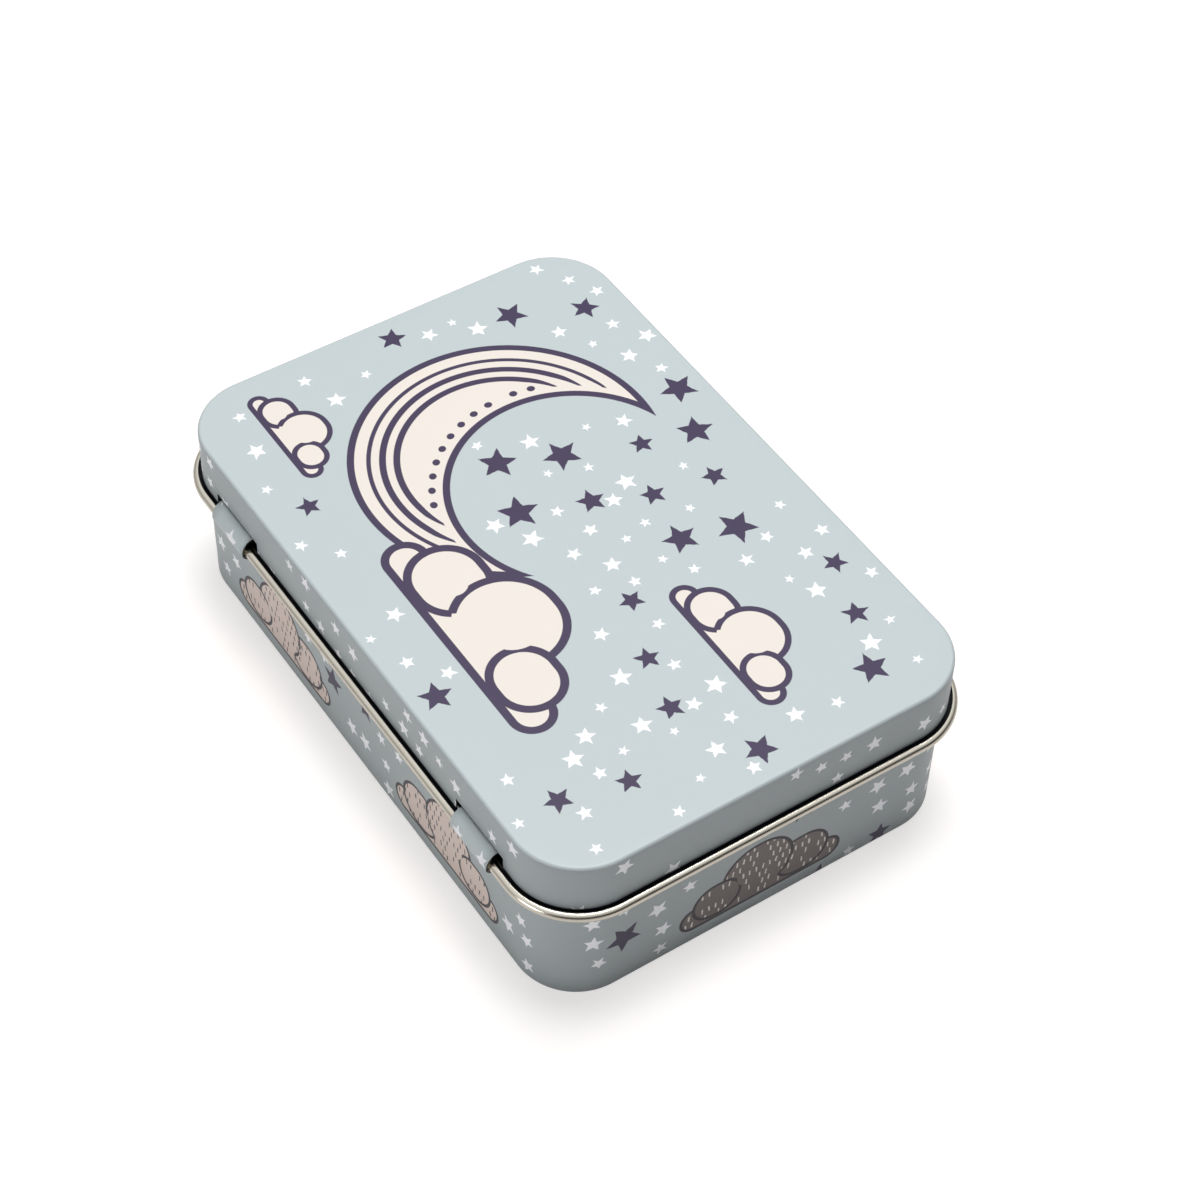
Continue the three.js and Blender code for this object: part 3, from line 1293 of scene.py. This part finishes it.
@dataclass
class Base(Pressing):
    """The base: bottom, rounded edge, wall and hem, with the hinge tabs bent out of the back wall."""

    name: str = "base"
    body: str = "base"
    printed_slot: str = "printed_base"
    wall: Wall = Wall.PRINT_ON_RIGHT

    @property
    def root(self) -> float:
        """Height at which the tabs leave the wall."""
        return self.sizes.hinge_up - self.sizes.flare_drop

    @property
    def window_low(self) -> float:
        """Height at which the window behind a tab widens."""
        return self.sizes.hinge_up - self.sizes.window_drop

    @property
    def window_top(self) -> float:
        """Height of the window's top, which the tab's sheet reached while it was flat."""
        return self.root + run_length(self.tab_profile()[0])[-1]

    def profile(self) -> Profile:
        """Run outward round the bottom edge, up the wall and inward round the hem.

        Returns:
            The profile of the sheet's middle.
        """
        s = self.sizes
        middle = s.base_out - s.sheet / 2
        hem_up = s.base_top - s.hem - s.sheet / 2
        stops = (s.base_bend, self.root, self.window_low, self.window_top, hem_up)
        rows = self.wall_rows + 1
        heights = np.concatenate([np.linspace(low, high, rows)[1:] for low, high in zip(stops, stops[1:])])
        return chain(
            arc(s.base_out - s.base_bend, s.base_bend, s.base_bend - s.sheet / 2, -90.0, 0.0),
            upright(middle, heights[:-1]),
            arc(middle - s.hem, hem_up, s.hem, 0.0, s.hem_sweep, s.hem_step),
        )

    def cuts(self, heights: np.ndarray) -> list[tuple[np.ndarray, float]]:
        """Cut the windows: from a tab's root to the window's top, and wider behind the curl.

        Args:
            heights: the height of each row of points.

        Returns:
            The rows of cells that go, and how far past the tab's sides.
        """
        s = self.sizes
        middle = (heights[:-1] + heights[1:]) / 2
        lows = ((self.root, s.tab_relief), (self.window_low, s.window_side))
        return [((middle > low) & (middle < self.window_top), side) for low, side in lows]

    def hook_profile(self) -> Profile:
        """Run close under the lid's curl, up over it on an oval and down behind the slot.

        Returns:
            The profile of the hook.
        """
        s = self.sizes
        top = -s.sheet / 2
        radii = (s.hinge_out + s.tab_radius - top, s.tab_rise)
        under = arc(s.hinge_out, s.hinge_up, s.tab_radius, s.tab_start, 0.0)
        over = oval(top, s.hinge_up, radii, 0.0, 90.0, s.tab_step)
        behind = arc(top, s.hinge_up + s.tab_rise - s.tab_tuck, s.tab_tuck, 90.0, s.tab_tuck_end)
        return chain(*((points[:-1], run[:-1]) for points, run in (under, over)), behind)

    def tab_profile(self) -> Profile:
        """Run up and outward on a cubic curve that leaves the wall upright, then hook over the curl.

        Returns:
            The profile of the tab.
        """
        s = self.sizes
        hook = self.hook_profile()
        start = np.array((s.base_out - s.sheet / 2, self.root))
        end, along = hook[0][0], hook[1][0]
        ends = np.array((start, start + (0.0, s.flare_ease), end - s.flare_ease * along, end))
        t = np.linspace(0.0, 1.0, s.flare_rows + 1)[:-1, None]
        weights = np.hstack(((1 - t) ** 3, 3 * t * (1 - t) ** 2, 3 * t * t * (1 - t), t ** 3))
        slopes = np.hstack(((1 - t) ** 2, 2 * t * (1 - t), t * t))
        run = slopes @ np.diff(ends, axis=0)
        return chain((weights @ ends, unit(run)), hook)

    def sheet(self) -> Sheet:
        """Add the hinge tabs to the drawn cup: each is its profile carried straight along the hinge.

        Returns:
            The sheet.
        """
        cup = super().sheet()
        stations = len(self.outline.place)
        row = int(np.argmin(np.abs(cup.points[:-1:stations, 2] - self.root)))
        section, _ = self.profile()
        flat_root = self.sizes.half_width + section[0, 0] + run_length(section)[row - len(self.panel_rings)]
        reach = self.sizes.tab_width / 2
        for place in self.sizes.tab_places:
            columns = self.outline.on_back(place - reach, place + reach)
            cup = self.with_tab(cup, row * stations + columns, flat_root)
        return cup

    def with_tab(self, cup: Sheet, foot: np.ndarray, flat_root: float) -> Sheet:
        """Grow one tab on a row of the cup's points.

        Args:
            cup: the sheet so far.
            foot: the points of the wall that the tab grows from.
            flat_root: where those points lie across the flat sheet.

        Returns:
            The sheet with the tab.
        """
        section, run = self.tab_profile()
        x = cup.points[foot, 0]
        rows = len(section) - 1
        out = np.repeat(section[1:], len(x), axis=0)
        points = np.column_stack((np.tile(x, rows), out[:, 0] + self.sizes.half_width, out[:, 1]))
        side = np.repeat(np.column_stack((run[1:, 1], -run[1:, 0])), len(x), axis=0)
        normals = np.column_stack((np.zeros(len(side)), side))
        index = np.vstack((foot, len(cup.points) + np.arange(len(points)).reshape(rows, -1)))
        flat = np.stack(np.meshgrid(x, flat_root + run_length(section)), axis=2)
        cells, places = (
            np.stack((grid[:-1, :-1], grid[:-1, 1:], grid[1:, 1:], grid[1:, :-1]), axis=2)
            for grid in (index, flat)
        )
        return Sheet(
            np.concatenate((cup.points, points)),
            np.concatenate((cup.normals, normals)),
            np.concatenate((cup.quads, cells.reshape(-1, 4))),
            cup.tris,
            np.concatenate((cup.quad_flat, places.reshape(-1, 4, 2))),
            cup.tri_flat,
        )


# Studio

@dataclass(frozen=True)
class Studio:
    """Pale floor, soft light from above and the photograph's camera."""

    camera_place: Triple = (-0.25471, 0.17154, 0.368)
    camera_target: Triple = (-0.00262, -0.0054, 0.0165)
    camera_roll: float = math.radians(1.987)
    lens: float = 86.42
    sensor: float = 36.0
    clip_start: float = 0.01
    floor_colour: Colour = (0.93, 0.925, 0.92)
    floor_seen: Colour = (0.97, 0.93, 0.912)
    floor_tint: Colour = (1.0, 0.985, 0.975)
    floor_white: float = 0.53
    floor_glow: float = 1.24
    floor_reach: float = 3.0
    shadow_reach: float = 0.36
    lamp_place: Triple = (0.1, -0.11, 1.0)
    lamp_size: float = 0.5
    lamp_power: float = 10.9
    fill_place: Triple = (-0.14, 0.95, 0.14)
    fill_size: float = 0.4
    fill_power: float = 2.1
    sky: float = 0.05
    room: float = 0.06
    backdrop: float = 0.6
    backdrop_from: float = 0.6
    sky_from: float = 0.38
    sky_climb: float = 2.2
    mirror_near: float = 0.6
    mirror_far: float = 0.1
    mirror_reach: float = 0.16

    def camera(self) -> None:
        """Set the camera at its place, facing its target and rolled a little about its view."""
        place, target = Vector(self.camera_place), Vector(self.camera_target)
        ahead = (target - place).normalized()
        level = ahead.cross(Vector((0.0, 0.0, 1.0))).normalized()
        right = Matrix.Rotation(-self.camera_roll, 3, ahead) @ level
        up = right.cross(ahead)
        data = bpy.data.cameras.new("camera")
        data.lens = self.lens
        data.sensor_width = self.sensor
        data.clip_start = self.clip_start
        eye = add_object("camera", data)
        eye.matrix_world = Matrix((right, up, -ahead)).transposed().to_4x4()
        eye.matrix_world.translation = place
        bpy.context.scene.camera = eye

    def floor(self) -> None:
        """Lay a pale floor under the tin."""
        reach = self.floor_reach
        mesh = bpy.data.meshes.new("floor")
        square = [(-reach, -reach, 0), (reach, -reach, 0), (reach, reach, 0), (-reach, reach, 0)]
        mesh.from_pydata(square, [], [(0, 1, 2, 3)])
        mesh.materials.append(self.floor_finish())
        add_object("floor", mesh)

    def floor_finish(self) -> bpy.types.Material:
        """Mix a matt floor that the camera sees as white, with a shadow near the tin.

        Metal shows it too, greyer, and darker away from the tin.

        Returns:
            The material.
        """
        graph = Graph(bpy.data.materials.new("floor"))
        mirrored = graph.ray("Glossy")
        seen = graph.ray("Camera").most(mirrored)
        matt = graph.node("BsdfDiffuse", {"Color": self.floor_colour}).outputs[0]
        pale = graph.node("BsdfDiffuse", {"Color": self.floor_seen}).outputs[0]
        away = graph.distance(graph.place(), 0.0, 0.0)
        near = away.below(self.shadow_reach, self.shadow_reach / 3)
        close = away.below(self.mirror_reach, self.mirror_reach / 2)
        share = close * (self.mirror_near - self.mirror_far) + self.mirror_far
        glow = (1.0 - mirrored * (1.0 - share)) * self.floor_glow
        inputs = {"Color": self.floor_tint, "Strength": glow}
        white = graph.node("Emission", inputs).outputs[0]
        plain = 1.0 - near * (1.0 - self.floor_white)
        shown = graph.node("MixShader", {0: plain, 1: pale, 2: white}).outputs[0]
        whole = graph.node("MixShader", {0: seen, 1: matt, 2: shown}).outputs[0]
        graph.node("OutputMaterial", {"Surface": whole})
        return graph.owner

    def surroundings(self) -> bpy.types.World:
        """Light the world little, and show it white to the camera.

        Metal shows it white overhead, grey towards the backdrop, and dark towards the room in front.

        Returns:
            The world.
        """
        graph = Graph(bpy.data.worlds.new("studio"))
        x, _, height = graph.split(graph.node("TexCoord").outputs["Generated"])
        behind = (x + self.backdrop_from).clamp()
        low = behind * (self.backdrop - self.room) + self.room
        mirrored = (((height - self.sky_from) * self.sky_climb).most(0.0) + low).least(1.0)
        seen = graph.ray("Camera").most(graph.ray("Glossy") * mirrored)
        inputs = {"Color": (1.0, 1.0, 1.0), "Strength": seen.most(self.sky)}
        background = graph.node("Background", inputs).outputs[0]
        graph.node("OutputWorld", {"Surface": background})
        return graph.owner

    def lamp(self, name: str, place: Triple, size: float, power: float) -> None:
        """Hang a soft square lamp that faces the tin.

        Args:
            name: its name.
            place: where it hangs.
            size: its side.
            power: its power in watts.
        """
        data = bpy.data.lights.new(name, "AREA")
        data.size = size
        data.energy = power
        made = add_object(name, data)
        made.location = place
        made.rotation_euler = (-Vector(place)).to_track_quat("-Z", "Y").to_euler()

    def build(self) -> None:
        """Set the whole studio."""
        scene = bpy.context.scene
        scene.view_settings.view_transform = "Standard"
        scene.world = self.surroundings()
        self.camera()
        self.floor()
        self.lamp("overhead", self.lamp_place, self.lamp_size, self.lamp_power)
        self.lamp("fill", self.fill_place, self.fill_size, self.fill_power)
        log.info("studio: set")


def main() -> None:
    """Build the studio, the lid and the base."""
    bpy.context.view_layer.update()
    Studio().build()
    sizes = SheetSizes.from_frame()
    outline = Outline(sizes)
    common = {Face.BARE: BareTinFinish().make(), Face.CUT: CutEdgeFinish().make()}
    lid = Lid(sizes, outline)
    lid.dress(lid.build(), {Face.PRINTED: LidPrint(lid.plan()).make(), **common})
    base = Base(sizes, outline)
    base.dress(base.build(), {Face.PRINTED: BasePrint(base.plan()).make(), **common})


if __name__ == "__main__":
    main()
